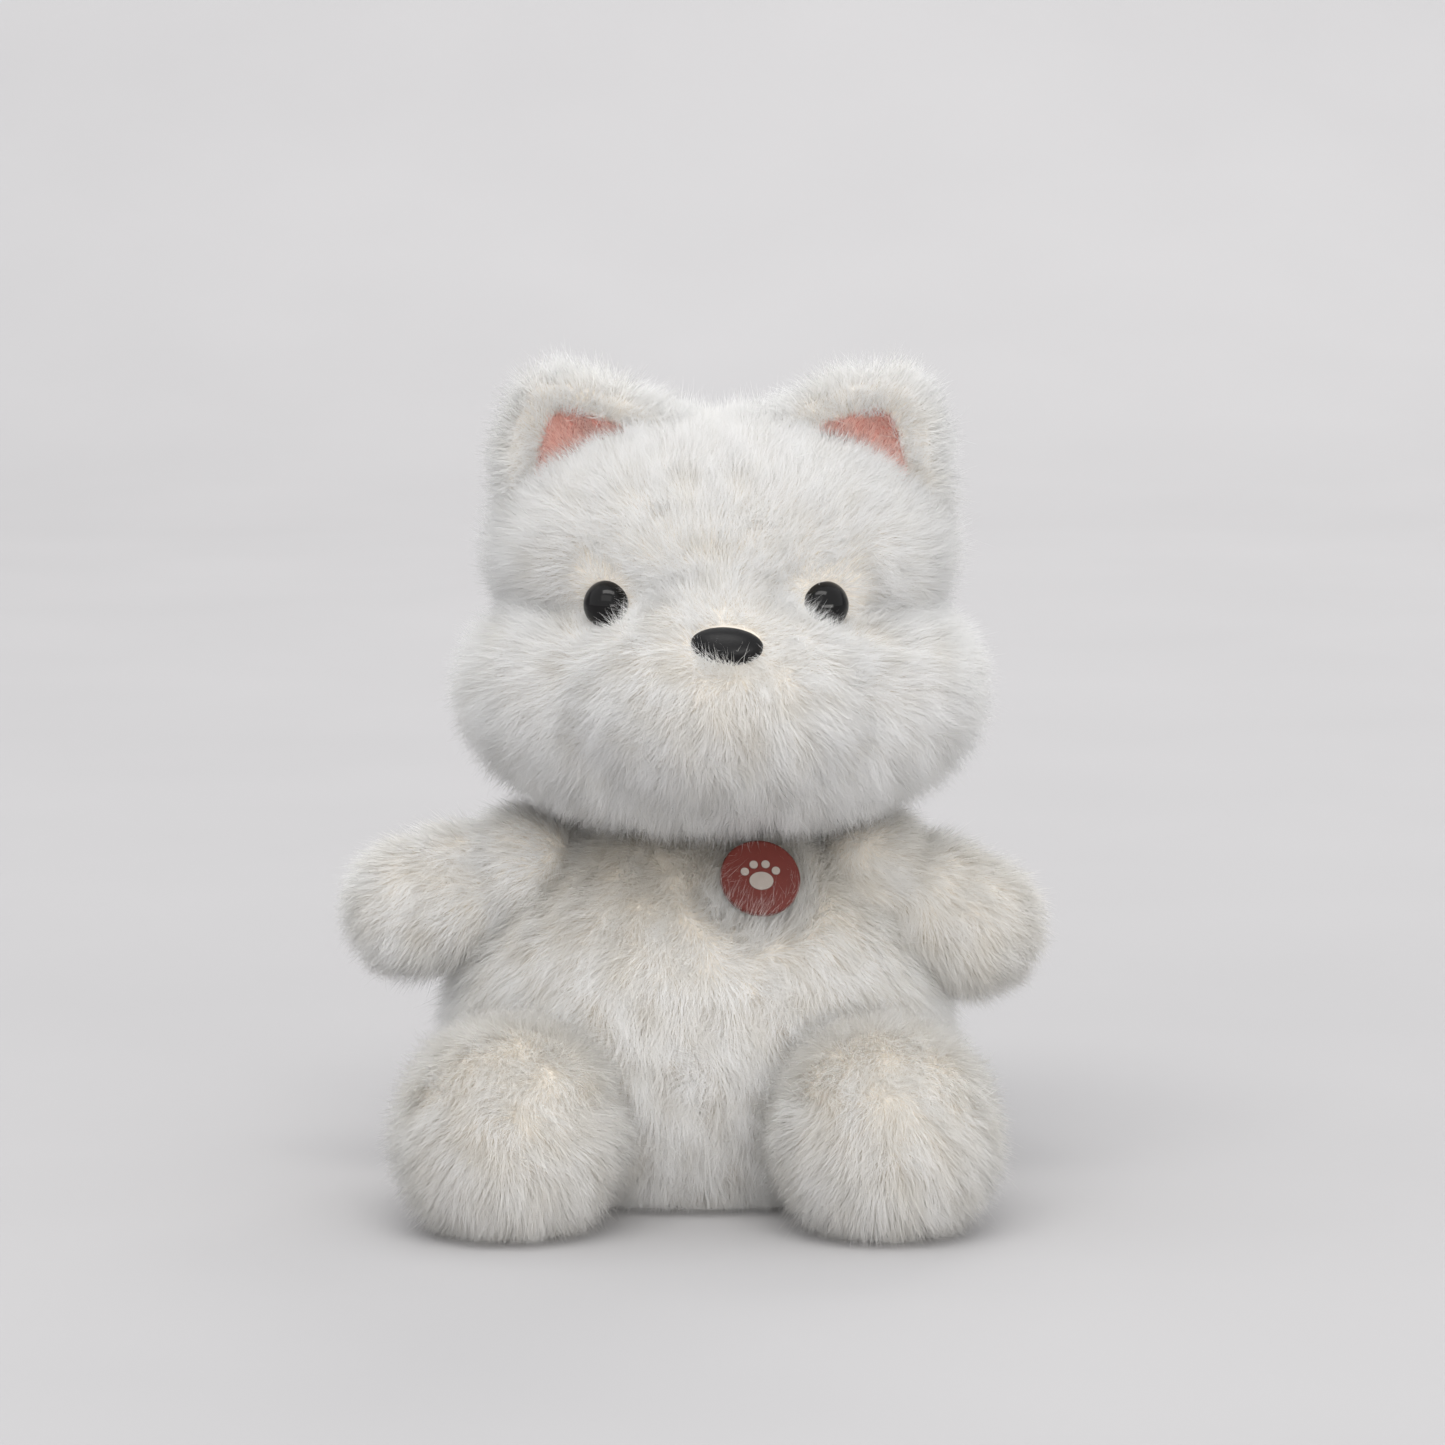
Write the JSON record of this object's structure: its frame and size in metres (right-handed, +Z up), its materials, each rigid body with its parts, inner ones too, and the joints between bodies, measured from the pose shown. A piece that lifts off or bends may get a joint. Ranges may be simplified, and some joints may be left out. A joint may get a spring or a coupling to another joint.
{
  "type": "plush dog",
  "caption": "Sitting long-pile plush dog with flap ears, short stuffed limbs, a domed nose, round eyes and a small round badge on the chest.",
  "frame": {"origin": "centre of the seat's flat sewn panel, on the plane the dog sits on", "axes": "+Z up through the head, -Y the way the dog looks, +X the dog's own left"},
  "size_m": [0.1647, 0.1528, 0.2108],
  "materials": {
    "plush_pile": "matte",
    "ear_lining": "matte",
    "polyester_fibre": "matte",
    "eye_plastic": "gloss",
    "nose_plastic": "satin",
    "washer_plastic": "matte",
    "badge_enamel": "satin",
    "badge_inlay": "satin"
  },
  "bodies": {
    "torso": {"body_front_panel": "plush_pile", "body_back_panel": "plush_pile", "body_seat_panel": "plush_pile", "body_stuffing": "polyester_fibre", "badge_disc": "badge_enamel", "badge_mark": "badge_inlay", "badge_washer": "washer_plastic"},
    "neck": {"neck_panel": "plush_pile", "neck_stuffing": "polyester_fibre"},
    "head": {"head_top_panel": "plush_pile", "head_face_panel": "plush_pile", "head_back_panel": "plush_pile", "head_stuffing": "polyester_fibre", "left_eye": "eye_plastic", "right_eye": "eye_plastic", "left_eye_washer": "washer_plastic", "right_eye_washer": "washer_plastic", "nose": "nose_plastic", "nose_washer": "washer_plastic"},
    "tail": {"tail_panel": "plush_pile", "tail_stuffing": "polyester_fibre"},
    "left_ear": {"left_ear_outer": "plush_pile", "left_ear_lining": "ear_lining"},
    "left_arm": {"left_arm_front_panel": "plush_pile", "left_arm_back_panel": "plush_pile", "left_arm_stuffing": "polyester_fibre"},
    "left_leg": {"left_leg_inner_panel": "plush_pile", "left_leg_outer_panel": "plush_pile", "left_leg_stuffing": "polyester_fibre"},
    "right_ear": {"right_ear_outer": "plush_pile", "right_ear_lining": "ear_lining"},
    "right_arm": {"right_arm_front_panel": "plush_pile", "right_arm_back_panel": "plush_pile", "right_arm_stuffing": "polyester_fibre"},
    "right_leg": {"right_leg_inner_panel": "plush_pile", "right_leg_outer_panel": "plush_pile", "right_leg_stuffing": "polyester_fibre"}
  },
  "joints": [
    {"name": "head_turn", "type": "hinge", "parent": "torso", "child": "neck", "pos_m": [0.003, 0.002, 0.076], "axis": [0, 0, 1], "range_deg": [-25, 25], "stiffness_Nm_per_rad": 0.25},
    {"name": "head_nod", "type": "hinge", "parent": "neck", "child": "head", "pos_m": [0.003, 0.002, 0.076], "axis": [1, 0, 0], "range_deg": [-10, 10], "stiffness_Nm_per_rad": 0.8},
    {"name": "left_arm_raise", "type": "hinge", "parent": "torso", "child": "left_arm", "pos_m": [0.043, -0.004, 0.079], "axis": [0, -1, 0], "range_deg": [-8, 40], "stiffness_Nm_per_rad": 0.08},
    {"name": "right_arm_raise", "type": "hinge", "parent": "torso", "child": "right_arm", "pos_m": [-0.043, -0.004, 0.079], "axis": [0, 1, 0], "range_deg": [-8, 40], "stiffness_Nm_per_rad": 0.08},
    {"name": "left_leg_lift", "type": "hinge", "parent": "torso", "child": "left_leg", "pos_m": [0.037, -0.024, 0.0245], "axis": [-1, 0, 0], "range_deg": [0, 25], "stiffness_Nm_per_rad": 0.15},
    {"name": "right_leg_lift", "type": "hinge", "parent": "torso", "child": "right_leg", "pos_m": [-0.037, -0.024, 0.0245], "axis": [-1, 0, 0], "range_deg": [0, 25], "stiffness_Nm_per_rad": 0.15},
    {"name": "left_ear_fold", "type": "hinge", "parent": "head", "child": "left_ear", "pos_m": [0.04296, 0.003, 0.18739], "axis": [0.8387, 0, -0.5446], "range_deg": [-25, 25], "stiffness_Nm_per_rad": 0.01},
    {"name": "right_ear_fold", "type": "hinge", "parent": "head", "child": "right_ear", "pos_m": [-0.03096, 0.003, 0.18739], "axis": [0.8387, 0, 0.5446], "range_deg": [-25, 25], "stiffness_Nm_per_rad": 0.01},
    {"name": "tail_wag", "type": "hinge", "parent": "torso", "child": "tail", "pos_m": [0, 0.047, 0.024], "axis": [0, 0, 1], "range_deg": [-25, 25], "stiffness_Nm_per_rad": 0.02}
  ]
}
